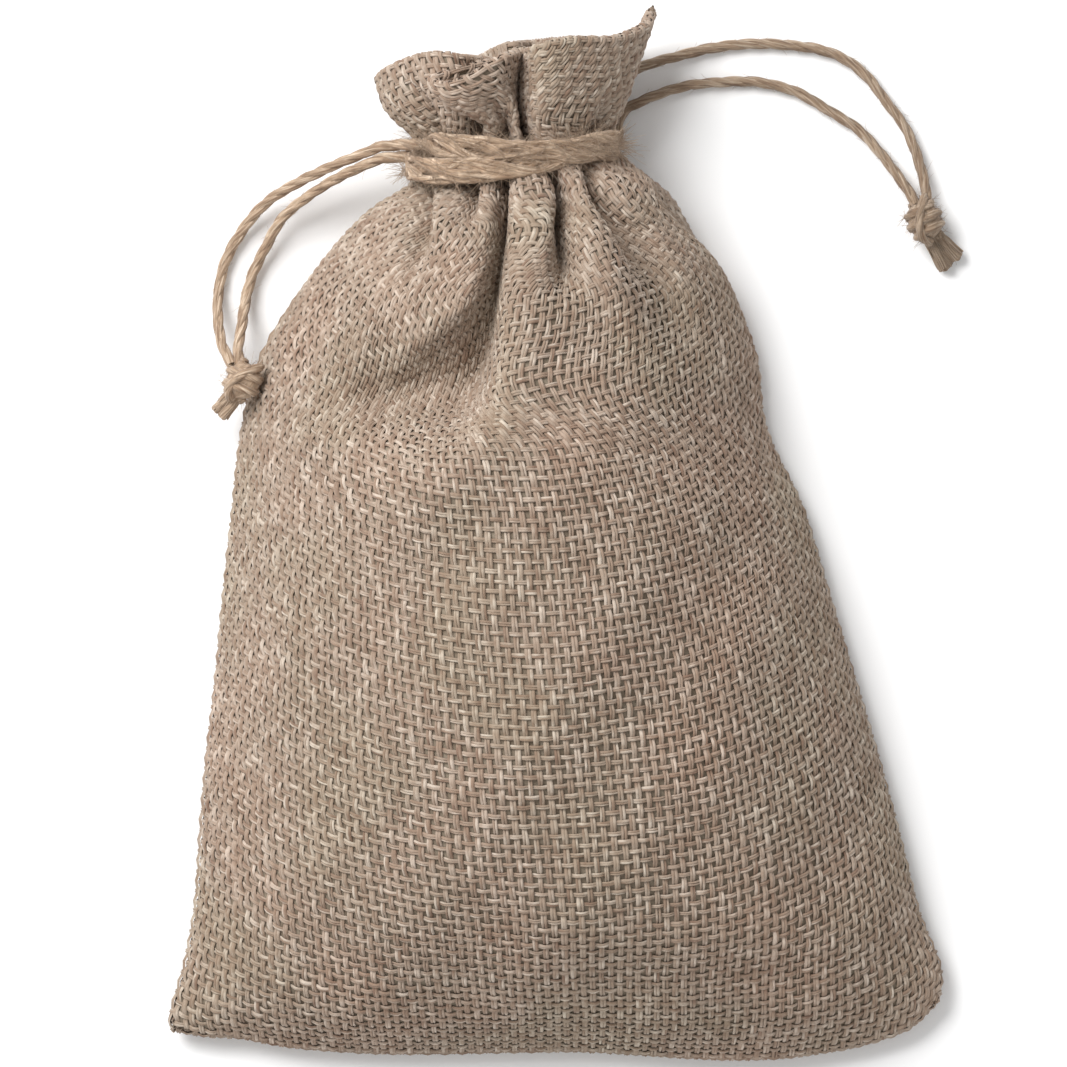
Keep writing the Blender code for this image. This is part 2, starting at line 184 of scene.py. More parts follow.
def smooth_curve(points, places):
    """Points read from one smooth curve through the given points, at 0..1 places."""
    points = np.array(points, float)
    chords = np.linalg.norm(np.diff(points, axis=0), axis=1)
    knots = np.concatenate([[0.0], np.cumsum(chords)])
    at = np.clip(np.asarray(places, float), 0.0, 1.0) * knots[-1]
    i = np.clip(np.searchsorted(knots, at, side="right") - 1, 0, len(chords) - 1)
    f = ((at - knots[i]) / chords[i])[:, None]
    return hermite(points, np.gradient(points, knots, axis=0), i, f, chords[i][:, None])


def profile_at(rows):
    """PROFILE's values at 0..1 places up the pouch."""
    table = np.array(PROFILE)
    place = np.asarray(rows) * (len(table) - 1)
    i = np.clip(place.astype(int), 0, len(table) - 2)
    return hermite(table, np.gradient(table, axis=0), i, (place - i)[:, None])


def read_at(table, y):
    """A value read smoothly from (place, value) pairs, level beyond both ends."""
    places, values = np.array(table, float).T
    at = np.clip(np.array([y]), places[0], places[-1])
    i = np.clip(np.searchsorted(places, at, side="right") - 1, 0, len(places) - 2)
    span = places[i + 1] - places[i]
    slopes = np.gradient(values, places)
    slopes[0] = slopes[-1] = 0.0
    return float(hermite(values, slopes, i, (at - places[i]) / span, span)[0])


def unit(vectors):
    """Vectors brought to length 1 along their last axis."""
    return vectors / np.maximum(np.linalg.norm(vectors, axis=-1, keepdims=True), 1e-9)


def length_along(points, axis):
    """Distance along a grid's rows or columns, starting at 0."""
    steps = np.linalg.norm(np.diff(points, axis=axis), axis=-1)
    start = np.zeros_like(np.take(steps, [0], axis=axis))
    return np.concatenate([start, np.cumsum(steps, axis=axis)], axis=axis)


def smooth_noise(rng, count, length, scale):
    """Smooth random values, about -1 to 1, that change over `scale` samples."""
    knots = max(4, int(length / scale) + 3)
    values = rng.uniform(-1, 1, (count, knots))
    place = np.linspace(0, knots - 2.001, length)
    i = place.astype(int)
    f = place - i
    f = f * f * (3 - 2 * f)
    return values[:, i] * (1 - f) + values[:, i + 1] * f


def plain_section(front, v, s):
    """The panel with no folds, at 0..1 places up (v) and across (s): a grid of (x, y, z)."""
    table = profile_at(v)
    left, right = table[:, 0:2], table[:, 2:4]
    bottom = smooth_curve(BOTTOM_EDGE, s)
    top = smooth_curve(FRONT_RIM if front else BACK_RIM, s)
    middle, reach, inward, rise = SEAM_TURN
    ride = np.exp(-((right[:, 1] - middle) / reach) ** 2)[:, None]
    sides = left[:, None] * (1 - s)[None, :, None] + right[:, None] * s[None, :, None]
    near = np.clip((s - (1 - SEAM_SHARE)) / SEAM_SHARE, 0, 1)[None, :]
    pull = near ** 2 if front else near ** 2 - 1.5 * np.sin(math.pi * near)
    sides[:, :, 0] -= inward * ride * pull
    low = bottom - (left[0] * (1 - s)[:, None] + right[0] * s[:, None])
    high = top - (left[-1] * (1 - s)[:, None] + right[-1] * s[:, None])
    high_share = np.clip((v - (1 - RIM_SHARE)) / RIM_SHARE, 0, 1)[:, None, None] ** 1.5
    plan = sides + low[None] * (1 - v)[:, None, None] ** 2 + high[None] * high_share
    u = np.abs(2 * s - 1)[None, :]
    seam, crown, lift, roundness = (table[:, k][:, None] for k in range(4, 8))
    dome = (1 - u**2).clip(0) ** np.interp(v, (0, 1), FULLNESS)[:, None]
    seam = seam + rise * ride * near ** 2
    if front:
        z = seam + SEAM_GAP / 2 + (crown - seam) * dome
    else:
        edge = ((u - FLAT_SHARE) / (1 - FLAT_SHARE)).clip(0) ** 2
        fall = (1 - edge) * (1 - roundness) + dome * roundness
        z = (seam - SEAM_GAP / 2) * (1 - fall) + lift * fall
    return np.concatenate([plan, z[:, :, None]], axis=2)


def folded_panel(front):
    """The panel's cloth, gathered into its folds: rows by columns by (x, y, z)."""
    rows = np.linspace(0, 1, GRID_ROWS)
    even = np.linspace(0, 1, PLAIN_COLUMNS)
    crowded = 0.5 - 0.5 * np.cos(np.linspace(0, math.pi, PLAIN_COLUMNS))
    plain = plain_section(front, rows, (1 - EVEN_SHARE) * crowded + EVEN_SHARE * even)
    middle_third = slice(PLAIN_COLUMNS // 3, 2 * PLAIN_COLUMNS // 3 + 1)
    arc = length_along(plain, 1)
    folds = FRONT_FOLDS if front else BACK_FOLDS
    count = (COLUMNS - 2) * GRID_PER_COLUMN + 1
    cloth = np.empty((GRID_ROWS, count, 3))
    middle = profile_at(rows)
    for j in range(GRID_ROWS):
        y = plain[j, middle_third, 1].mean()
        places, creases, lip_at = fold_places(folds, y, plain[j, :, 0], arc[j])
        c = np.linspace(0, places[-1, 0], count)
        a = np.interp(c, places[:, 0], places[:, 1])
        h = np.interp(c, places[:, 0], places[:, 2])
        lip = read_at(LIPS, y) * count / c[-1]
        a, h = soften(a, lip), soften(h, lip)
        point = np.stack([np.interp(a, arc[j], plain[j, :, k]) for k in range(3)], 1)
        cloth[j] = sink(point, a, h, y, arc[j, -1], creases, middle[j], front)
        if front:
            reach = np.where(c < lip_at, *LEAN_REACH)
            share = np.exp(-((c - lip_at) / reach) ** 2) * read_at(LEAN, y)
            cloth[j] += share[:, None] * np.array(LEAN_WAY)
    if front:
        cloth[:, :, 2] -= dents(cloth)
    cloth[:, :, 2] = np.maximum(cloth[:, :, 2], LOWEST)
    return cloth


def fold_places(folds, y, x_along, arc):
    """Cloth distance, plain distance and depth at each turn of one row's folds."""
    nodes = [(0.0, 0.0, 0.0)]
    creases = []
    lip_at = 0.0
    for k, fold in enumerate(folds):
        table = np.array(fold)
        x, depth, left, right = (read_at(table[:, (0, n)], y) for n in (1, 2, 3, 4))
        if y < table[0, 0] or depth < SHALLOWEST:
            continue
        at = float(np.interp(x, x_along, arc))
        start = max(at - left, nodes[-1][1] + 0.05)
        cloth, plain, _ = nodes[-1]
        cloth += start - plain
        nodes.append((cloth, start, 0.0))
        cloth += math.hypot(at - start, depth)
        nodes.append((cloth, at, depth))
        cloth += math.hypot(right, depth)
        nodes.append((cloth, at + right, 0.0))
        creases.append((at, depth))
        if k == ROLLED_FOLD:
            lip_at = cloth
    cloth, plain, _ = nodes[-1]
    nodes.append((cloth + arc[-1] - plain, arc[-1], 0.0))
    return np.array(nodes), creases, lip_at


def soften(values, sigma):
    """Values with their corners rounded, by a bell-shaped average."""
    reach = int(3 * sigma) + 1
    kernel = np.exp(-0.5 * (np.arange(-reach, reach + 1) / sigma) ** 2)
    kernel /= kernel.sum()
    ends = np.arange(1, reach + 1)
    before = 2 * values[0] - values[ends][::-1]
    after = 2 * values[-1] - values[-1 - ends]
    return np.convolve(np.concatenate([before, values, after]), kernel, "valid")


def sink(point, a, h, y, width, creases, middle, front):
    """Moves a row's points in by their depth in a fold and out on the ridges."""
    start, whole = GATHERING
    gather = float(np.clip((y - start) / (whole - start), 0, 1))
    aim_z = FOLD_AIMS[0 if front else 1]
    axis_z = 0.5 * (middle[5] + middle[6]) * gather + aim_z * (1 - gather)
    centre = 0.5 * (middle[0] + middle[2])
    share = GATHERED_SHARE * gather
    axis = np.stack([point[:, 0] * (1 - share) + centre * share,
                     point[:, 1], np.full(len(a), axis_z)], 1)
    inward = axis - point
    reach = np.linalg.norm(inward, axis=1, keepdims=True)
    inward = inward / np.maximum(reach, 1e-6)
    limit = 0.85 * reach[:, 0] + 0.2
    depth = limit * np.tanh(h / limit)
    ridge = read_at(RIDGES, y)
    bump = np.ones(len(a))
    for at, size in creases:
        bump *= 1 - min(1.0, size / 2.5) * np.exp(-((a - at) / 1.9) ** 2)
    bump *= np.clip(a / 4, 0, 1) * np.clip((width - a) / 4, 0, 1)
    return point + inward * (depth - ridge * bump)[:, None]


def dents(cloth):
    """How far each point of the front lies below a smooth crown: DENTS and slow lumps."""
    x, y = cloth[:, :, 0], cloth[:, :, 1]
    depth = np.zeros_like(x)
    for cx, cy, wide, long, turn, size in DENTS:
        c, s = math.cos(math.radians(turn)), math.sin(math.radians(turn))
        along = -(x - cx) * s + (y - cy) * c
        side = (x - cx) * c + (y - cy) * s
        depth += size * np.exp(-(side / wide) ** 2 - (along / long) ** 2)
    lumps = (0.35 * np.sin(x / 5.3 + 1.1) * np.sin(y / 6.7 + 0.4)
             + 0.25 * np.sin(x / 3.1 - y / 4.9))
    height = (cloth[:, :, 2] - 4).clip(0, 8) / 8
    return depth * height + lumps * height * (y < 40)


def normals_of(grid):
    return unit(np.cross(np.gradient(grid, axis=1), np.gradient(grid, axis=0)))


def turned_under(edge, before, out, radius, angles):
    """Lines of cloth that turn under past an edge line, one for each angle."""
    way = unit(edge - before)
    return [edge + way * math.sin(t) * radius - out * (1 - math.cos(t)) * radius
            for t in angles]


def with_edges(cloth, front):
    """Turns the cloth in at the sewn sides and bottom, and hems it at the mouth."""
    sign = 1 if front else -1
    out = normals_of(cloth) * sign
    turns = np.linspace(0, EDGE_TURN, GRID_PER_COLUMN + 1)[1:]
    left = turned_under(cloth[:, 0], cloth[:, 1], out[:, 0], EDGE_RADIUS, turns)
    right = turned_under(cloth[:, -1], cloth[:, -2], out[:, -1], EDGE_RADIUS, turns)
    cloth = np.concatenate([np.stack(left[::-1], 1), cloth, np.stack(right, 1)], 1)
    out = normals_of(cloth) * sign
    low = turned_under(cloth[0], cloth[1], out[0], EDGE_RADIUS, np.linspace(EDGE_TURN, 0.5, 5))
    top = turned_under(cloth[-1], cloth[-2], out[-1], HEM_RADIUS, np.linspace(0.5, HEM_TURN, 5))
    below = length_along(cloth[::-1], 0)
    keep = int((below[:, cloth.shape[1] // 2] < HEM_DEPTH).sum())
    inside = cloth[::-1][:keep] - 2 * HEM_RADIUS * out[::-1][:keep]
    whole = np.concatenate([np.array(low), cloth, np.array(top), inside])
    return whole, len(low) + len(cloth) + 2


# ---- mesh helpers
def make_mesh(name, vertices, quads, vectors=None):
    """A smooth mesh from arrays, with an optional 'fibre' vector on each vertex."""
    mesh = bpy.data.meshes.new(name)
    mesh.vertices.add(len(vertices))
    mesh.vertices.foreach_set("co", (np.asarray(vertices) * MM).astype(np.float32).ravel())
    mesh.loops.add(quads.size)
    mesh.loops.foreach_set("vertex_index", quads.astype(np.int32).ravel())
    mesh.polygons.add(len(quads))
    sides = quads.shape[1]
    mesh.polygons.foreach_set("loop_start", np.arange(0, quads.size, sides, dtype=np.int32))
    mesh.polygons.foreach_set("use_smooth", np.ones(len(quads), bool))
    if vectors is not None:
        fibre = mesh.attributes.new("fibre", "FLOAT_VECTOR", "POINT")
        fibre.data.foreach_set("vector", np.asarray(vectors, np.float32).ravel())
    mesh.update(calc_edges=True)
    mesh.validate()
    made = bpy.data.objects.new(name, mesh)
    bpy.context.scene.collection.objects.link(made)
    return made


def grid_quads(rows, columns, closed=False):
    """The faces of a grid of points, or of a tube when its rows close."""
    i = np.arange(rows - 1)[:, None] * columns
    j = np.arange(columns if closed else columns - 1)[None, :]
    k = (j + 1) % columns
    return np.stack([i + j, i + k, i + columns + k, i + columns + j], -1).reshape(-1, 4)


# ---- the woven yarns
# A yarn of a pair: its half width, its height and how far it is from the pair's middle.
WEFT_YARN = (0.185, 0.16, 0.115)
WARP_YARN = (0.225, 0.18, 0.165)
YARN_ROUND = 1.85       # radians of a yarn's section, to each side of its top
SLUB = 0.28             # how much a yarn's thickness varies, as a share
WANDER = 0.4            # how much its distance from the pair's middle varies
SLUB_SAMPLES = 6        # over which both change
GAP_SHADE_DEPTH = 0.22     # of the dark sheet under the yarns, painted shade for the openings between them
GAP_SHADE_STEP = 3         # cloth grid steps to one step of the painted-shade sheet's
CRIMP = 0.18            # how far a yarn rides over and under
WEFT_UNEVEN = 0.03      # how much the wefts' height varies
WEFT_DRIFT = 0.12       # how far the wefts and the warps stray sideways
WARP_DRIFT = 0.10
DRIFT_SAMPLES = 30      # over which they do


def thread_mesh(paths, normals, keep, yarn, sides, pitch, rng):
    """Pairs of half-round yarns along each path: paths are threads by samples by 3."""
    threads, samples = paths.shape[:2]
    tangent = unit(np.gradient(paths, axis=1))
    lateral = unit(np.cross(normals, tangent))
    upward = np.cross(tangent, lateral)
    angles = np.linspace(-YARN_ROUND, YARN_ROUND, sides)
    seeds = rng.uniform(0, 100, threads)
    girth = rng.uniform(0.86, 1.14, (threads, 1))
    half_width, half_height, apart = yarn
    along = np.arange(samples)[None, :, None] * pitch
    block = np.arange(threads * samples * sides).reshape(threads, samples, sides)
    quad = np.stack([block[:, :-1, :-1], block[:, :-1, 1:],
                     block[:, 1:, 1:], block[:, 1:, :-1]], -1)
    whole = np.broadcast_to((keep[:, :-1] & keep[:, 1:])[:, :, None], quad.shape[:3])
    vertices, vectors, quads = [], [], []
    for side in (-1, 1):
        slub = girth * (1 + SLUB * smooth_noise(rng, threads, samples, SLUB_SAMPLES))
        wander = 1 + WANDER * smooth_noise(rng, threads, samples, SLUB_SAMPLES)
        centre = paths + lateral * (side * apart * wander)[:, :, None]
        wide, high = half_width * slub, half_height * slub
        ring = (centre[:, :, None]
                + lateral[:, :, None] * (np.sin(angles) * wide[:, :, None])[..., None]
                + upward[:, :, None] * (np.cos(angles) * high[:, :, None])[..., None])
        fibre = (along, angles, seeds[:, None, None] + 0.37 * (side + 1))
        vertices.append(ring.reshape(-1, 3))
        vectors.append(np.stack([np.broadcast_to(part, ring.shape[:3]) for part in fibre],
                                -1).reshape(-1, 3))
        quads.append(quad[whole] + len(quads) * block.size)
    used, quads = np.unique(np.concatenate(quads), return_inverse=True)
    return np.concatenate(vertices)[used], quads.reshape(-1, 4), np.concatenate(vectors)[used]


def crimp(phase):
    """Over (1) and under (-1) a crossing yarn, flat on each float."""
    wave = np.cos(phase * math.pi)
    return np.sign(wave) * np.abs(wave) ** 0.6


def rows_at(distance, columns, levels):
    """The row number of each level in each column, and whether the level is on the cloth."""
    rows = np.arange(len(distance), dtype=float)
    where = np.stack([np.interp(levels, distance[:, c], rows) for c in columns])
    inside = np.stack([(levels >= distance[0, c]) & (levels <= distance[-1, c])
                       for c in columns])
    return where, inside


def yarn_paths(cloth, outward, where, columns, height, drift, aside):
    """Yarn points at fractional rows of the cloth, lifted and moved aside, and normals."""
    low = np.clip(where.astype(int), 0, len(cloth) - 2)
    f = (where - low)[:, :, None]
    point = cloth[low, columns] * (1 - f) + cloth[low + 1, columns] * f
    normal = outward[low, columns] * (1 - f) + outward[low + 1, columns] * f
    way = unit(np.gradient(cloth, axis=aside)[low, columns])
    return point + normal * height[:, :, None] + way * drift[:, :, None], normal


def weave(cloth, outward, distance, per_row, sides, rng):
    """Wefts and warps over one region: `distance` is measured along the warp."""
    first = math.floor(distance.min() / ROW_PITCH)
    last = math.ceil(distance.max() / ROW_PITCH)
    pitch = ROW_PITCH / per_row
    # weft: one paired yarn at each distance, from seam to seam
    columns = np.arange(0, cloth.shape[1], GRID_PER_COLUMN // per_row)
    wefts = np.arange(first, last)
    where, inside = rows_at(distance, columns, (wefts + 0.5) * ROW_PITCH)
    phase = columns[None, :] / GRID_PER_COLUMN - 0.5 + wefts[:, None] % 2
    size = (len(wefts), len(columns))
    height = CRIMP * crimp(phase) + WEFT_UNEVEN * smooth_noise(rng, *size, 7)
    drift = WEFT_DRIFT * smooth_noise(rng, *size, DRIFT_SAMPLES)
    paths, normals = yarn_paths(cloth, outward, where.T, columns, height, drift, 0)
    weft = thread_mesh(paths, normals, inside.T, WEFT_YARN, sides, pitch, rng)
    # warp: one paired yarn down the middle of each column
    middle = np.arange(COLUMNS) * GRID_PER_COLUMN + GRID_PER_COLUMN // 2
    levels = np.arange(first * per_row, last * per_row + 1) / per_row * ROW_PITCH
    where, inside = rows_at(distance, middle, levels)
    phase = levels[None, :] / ROW_PITCH - 0.5 + (np.arange(COLUMNS) + 1)[:, None] % 2
    drift = WARP_DRIFT * smooth_noise(rng, COLUMNS, len(levels), DRIFT_SAMPLES)
    paths, normals = yarn_paths(cloth, outward, where, middle[:, None],
                                CRIMP * crimp(phase), drift, 1)
    return weft, thread_mesh(paths, normals, inside, WARP_YARN, sides, pitch, rng)


def woven_panel(front, per_row, sides, seed):
    """One panel's cloth, its normals, and the yarns of its body and of its frill."""
    rng = np.random.default_rng(seed)
    cloth, rim = with_edges(folded_panel(front), front)
    outward = normals_of(cloth) * (1 if front else -1)
    neck = int(np.argmin(np.abs(cloth[:rim, :, 1].mean(axis=1) - NECK_Y)))
    body, body_out = cloth[:neck + 1], outward[:neck + 1]
    body_yarns = weave(body, body_out, length_along(body, 0), per_row, sides, rng)
    frill, frill_out = cloth[neck:], outward[neck:]
    from_neck = length_along(frill, 0)
    from_rim = from_neck - from_neck[rim - neck]
    return cloth, outward, body_yarns, weave(frill, frill_out, from_rim, per_row, sides, rng)


def panel_objects(name, front, per_row, sides, seed, yarn_material, gap_shade_material):
    """A panel's dark sheet, painted shade for the openings between the yarns, and the yarns
    woven through it, as objects.
    """
    cloth, outward, body, frill = woven_panel(front, per_row, sides, seed)
    rows = np.unique(np.append(np.arange(0, len(cloth), GAP_SHADE_STEP), len(cloth) - 1))
    columns = np.arange(0, cloth.shape[1], GAP_SHADE_STEP)
    # the sheet under the yarns carries the painted shade of the openings between them
    gap_shade = (cloth - GAP_SHADE_DEPTH * outward)[np.ix_(rows, columns)]
    winding = 1 if front else -1
    quads = grid_quads(len(rows), len(columns))[:, ::winding]
    sheet = make_mesh(f"{name}_ground", gap_shade.reshape(-1, 3), quads)
    sheet.data.materials.append(gap_shade_material)
    pieces = []
    for part, yarns in (("body", body), ("frill", frill)):
        for kind, (vertices, faces, vectors) in zip(("weft", "warp"), yarns):
            made = make_mesh(f"{name}_{part}_{kind}", vertices, faces[:, ::winding], vectors)
            made.data.materials.append(yarn_material)
            pieces.append(made)
    return sheet, pieces, cloth, outward


# ---- materials
def new_material(name):
    """A new material, its shader, and its nodes and links."""
    made = bpy.data.materials.new(name)
    made.use_nodes = True
    nodes = made.node_tree.nodes
    return made, nodes["Principled BSDF"], nodes, made.node_tree.links


def new_node(nodes, kind, values):
    """A new node with some of its inputs set."""
    node = nodes.new("ShaderNode" + kind)
    for name, value in values.items():
        node.inputs[name].default_value = value
    return node


def ramp_of(nodes, stops):
    """A colour ramp with the given (place, colour) stops."""
    ramp = nodes.new("ShaderNodeValToRGB")
    elements = ramp.color_ramp.elements
    while len(elements) < len(stops):
        elements.new(0.5)
    for element, (place, colour) in zip(elements, stops):
        element.position = place
        element.color = (*colour, 1)
    return ramp


def fibre_vector(nodes):
    """A piece's 'fibre' vector: along the yarn, around it, one yarn to the next."""
    fibre = nodes.new("ShaderNodeAttribute")
    fibre.attribute_name = "fibre"
    return fibre.outputs["Vector"]


def stretched_noise(nodes, links, scales, size, detail, roughness=0.55):
    """Noise over a piece's 'fibre' vector, scaled along, around and between yarns."""
    scale = nodes.new("ShaderNodeVectorMath")
    scale.operation = "MULTIPLY"
    scale.inputs[1].default_value = scales
    links.new(fibre_vector(nodes), scale.inputs[0])
    noise = new_node(nodes, "TexNoise", {"Scale": size, "Detail": detail,
                                         "Roughness": roughness})
    links.new(scale.outputs[0], noise.inputs["Vector"])
    return noise.outputs["Fac"]


def spread(nodes, links, value, low, high, start=0.3, stop=0.7):
    """A value's middle range, mapped to low..high."""
    ranged = new_node(nodes, "MapRange", {"From Min": start, "From Max": stop,
                                          "To Min": low, "To Max": high})
    links.new(value, ranged.inputs["Value"])
    return ranged.outputs["Result"]


def multiplied(nodes, links, one, two):
    """One colour times another."""
    mix = nodes.new("ShaderNodeMix")
    mix.data_type = "RGBA"
    mix.blend_type = "MULTIPLY"
    mix.inputs["Factor"].default_value = 1.0
    links.new(one, mix.inputs["A"])
    links.new(two, mix.inputs["B"])
    return mix.outputs["Result"]


def blotches(nodes, links, size, stops):
    """Slow changes of tint over the whole cloth."""
    where = nodes.new("ShaderNodeTexCoord")
    noise = new_node(nodes, "TexNoise", {"Scale": size, "Detail": 2.0})
    links.new(where.outputs["Object"], noise.inputs["Vector"])
    ramp = ramp_of(nodes, stops)
    links.new(noise.outputs["Fac"], ramp.inputs["Fac"])
    return ramp.outputs["Color"]


def bumped(nodes, links, shader, height, strength, distance):
    """Fine relief on a shader, `distance` metres high."""
    bump = new_node(nodes, "Bump", {"Strength": strength, "Distance": distance})
    links.new(height, bump.inputs["Height"])
    links.new(bump.outputs["Normal"], shader.inputs["Normal"])


def yarn_look():
    """Beige yarns that change from cream to tan to brown along their length."""
    made, shader, nodes, links = new_material("burlap_yarn")
    patches = stretched_noise(nodes, links, (0.27, 0.0, 7.3), 1.0, 3.0, 0.6)
    ramp = ramp_of(nodes, ((0.30, (0.225, 0.142, 0.100)), (0.42, (0.310, 0.220, 0.160)),
                           (0.53, (0.390, 0.302, 0.234)), (0.66, (0.580, 0.488, 0.405))))
    links.new(patches, ramp.inputs["Fac"])
    streaks = stretched_noise(nodes, links, (0.8, 4.2, 7.3), 1.6, 4.0)
    streaked = multiplied(nodes, links, ramp.outputs["Color"],
                          spread(nodes, links, streaks, 0.80, 1.16))
    tint = blotches(nodes, links, 55.0, ((0.35, (1.03, 0.985, 0.97)), (0.5, (1.0, 1.0, 1.0)),
                                         (0.65, (0.97, 0.99, 0.96))))
    links.new(multiplied(nodes, links, streaked, tint), shader.inputs["Base Color"])
    bumped(nodes, links, shader, streaks, 0.6, 0.00007)
    links.new(spread(nodes, links, patches, 0.7, 0.9), shader.inputs["Roughness"])
    shader.inputs["Sheen Weight"].default_value = 0.12
    shader.inputs["Sheen Roughness"].default_value = 0.5
    shader.inputs["Specular IOR Level"].default_value = 0.22
    return made


def gap_shade_look():
    """Painted shade: the dark, mottled colour seen in the openings between the yarns, on a sheet
    under them.
    """
    made, shader, nodes, links = new_material("burlap_gap_shade")
    mottle = blotches(nodes, links, 420.0, ((0.35, (0.20, 0.155, 0.112)),
                                            (0.7, (0.30, 0.25, 0.19))))
    links.new(mottle, shader.inputs["Base Color"])
    shader.inputs["Roughness"].default_value = 0.95
    shader.inputs["Specular IOR Level"].default_value = 0.1
    return made


def twine_look(name, paleness):
    """Jute: tan fibres that run along each ply, with darker and paler ones among them."""
    dark, mid, light = (tuple(min(0.9, paleness * part) for part in colour) for colour in (
        (0.19, 0.118, 0.073), (0.37, 0.262, 0.178), (0.62, 0.50, 0.38)))
    made, shader, nodes, links = new_material(name)
    slow = stretched_noise(nodes, links, (0.22, 0.9, 3.1), 1.3, 3.0)
    fine = stretched_noise(nodes, links, (0.55, 8.5, 3.1), 1.9, 4.0, 0.65)
    ramp = ramp_of(nodes, ((0.30, dark), (0.5, mid), (0.70, light)))
    links.new(slow, ramp.inputs["Fac"])
    colour = multiplied(nodes, links, ramp.outputs["Color"],
                        spread(nodes, links, fine, 0.62, 1.32, 0.32, 0.68))
    links.new(colour, shader.inputs["Base Color"])
    bumped(nodes, links, shader, fine, 0.8, 0.00012)
    links.new(spread(nodes, links, fine, 0.55, 0.8), shader.inputs["Roughness"])
    shader.inputs["Sheen Weight"].default_value = 0.2
    shader.inputs["Sheen Roughness"].default_value = 0.4
    shader.inputs["Specular IOR Level"].default_value = 0.3
    return made


# ---- twine
TWINE = 1.45
PLIES = 3
LAY = 8.5               # length of one turn of the plies
PLY_OFFSET = 0.17       # of the twine's diameter, from its middle to a ply's
PLY_RADIUS = 0.33
PLY_SIDES = 8
SQUEEZED = 1.7          # the twine's diameter at the neck, and how far off it eases to that
EASING = 8.0
LOOSE_PLIES = 16        # soft strands that the twine opens into round the neck
LOOSE_WIDTH = 3.3
LOOSE_LAY = 24.0
LEAD_OVERLAP = 3.0      # of a lead, inside the band that it becomes
LEAD_HAIR = (7.0, (1.0, 3.2))       # hairs per millimetre, and how long they are
STRAND_HAIR = (2.2, (0.6, 1.9))


def frames_along(path):
    """Tangents and two turning-free side directions along a path."""
    tangent = unit(np.gradient(path, axis=0))
    side = np.empty_like(path)
    up = np.array((0.0, 0.0, 1.0)) + 1e-3
    for n, t in enumerate(tangent):
        up = up - t * (up @ t)
        up /= np.linalg.norm(up)
        side[n] = up
    return tangent, side, np.cross(tangent, side)


def run_length(path):
    """Distance along a path at each of its points."""
    return np.concatenate([[0], np.cumsum(np.linalg.norm(np.diff(path, axis=0), axis=1))])


def dense(points, step=0.24):
    """A route's smooth curve, with a point every `step` millimetres."""
    fine = smooth_curve(points, np.linspace(0, 1, 3000))
    length = run_length(fine)
    at = np.linspace(0, length[-1], max(8, int(length[-1] / step)))
    return np.stack([np.interp(at, length, fine[:, k]) for k in range(3)], 1)


class Bundle:
    """Collects tubes into one mesh. Each tube is rings of points, open at its ends."""

    def __init__(self):
        self.vertices, self.vectors, self.quads = [], [], []
        self.count = 0

    def add(self, ring, vectors):
        self.vertices.append(ring.reshape(-1, 3))
        self.vectors.append(vectors.reshape(-1, 3))
        self.quads.append(grid_quads(ring.shape[0], ring.shape[1], True) + self.count)
        self.count += ring.shape[0] * ring.shape[1]

    def make(self, name, material):
        quads = np.concatenate(self.quads)[:, ::-1]
        made = make_mesh(name, np.concatenate(self.vertices), quads,
                         np.concatenate(self.vectors))
        made.data.materials.append(material)
        return made


def rings_along(path, radius, sides, seed):
    """Rings of a round tube along a path, and the fibre vectors on them."""
    _, one, two = frames_along(path)
    angles = np.linspace(0, 2 * math.pi, sides, endpoint=False)
    radius = np.broadcast_to(radius, len(path))[:, None, None]
    ring = (path[:, None] + one[:, None] * np.cos(angles)[None, :, None] * radius
            + two[:, None] * np.sin(angles)[None, :, None] * radius)
    fibre = (run_length(path)[:, None], np.sin(angles) * 2, seed)
    vectors = np.stack([np.broadcast_to(part, ring.shape[:2]) for part in fibre], -1)
    return ring, vectors


class Twine:
    """A laid twine along a path; pieces of it are cut out by distance."""

    def __init__(self, path, diameter, seed, lay=LAY, splay=1.0, ends=(1, 1)):
        rng = np.random.default_rng(seed)
        self.path = path
        self.along = run_length(path)
        self.diameter = np.broadcast_to(diameter, len(path))
        _, one, two = frames_along(path)
        close = np.ones(len(path))
        close[0], close[-1] = ends
        share = PLY_OFFSET * self.diameter * splay
        self.rings = []
        for k in range(PLIES):
            angle = 2 * math.pi * (k / PLIES + self.along / lay)
            offset = one * np.cos(angle)[:, None] + two * np.sin(angle)[:, None]
            wobble = 1 + 0.07 * smooth_noise(rng, 1, len(path), 9)[0]
            radius = PLY_RADIUS * self.diameter * wobble * close
            self.rings.append(rings_along(path + offset * share[:, None], radius, PLY_SIDES,
                                          rng.uniform(0, 50)))

    def lay_in(self, bundle, start=0, end=None):
        """Adds the plies between two points of the path to a bundle."""
        for ring, vectors in self.rings:
            bundle.add(ring[start:end], vectors[start:end])

    def cut(self, name, start, end, material, rng, hair, hair_length):
        """The piece between two distances, with its hair, and its path."""
        i, j = np.searchsorted(self.along, (start, end))
        j = min(j + 1, len(self.along))
        bundle = Bundle()
        self.lay_in(bundle, i, j)
        fuzz(bundle, self.path[i:j], self.diameter[i:j], hair, rng, hair_length)
        return bundle.make(name, material), self.path[i:j]


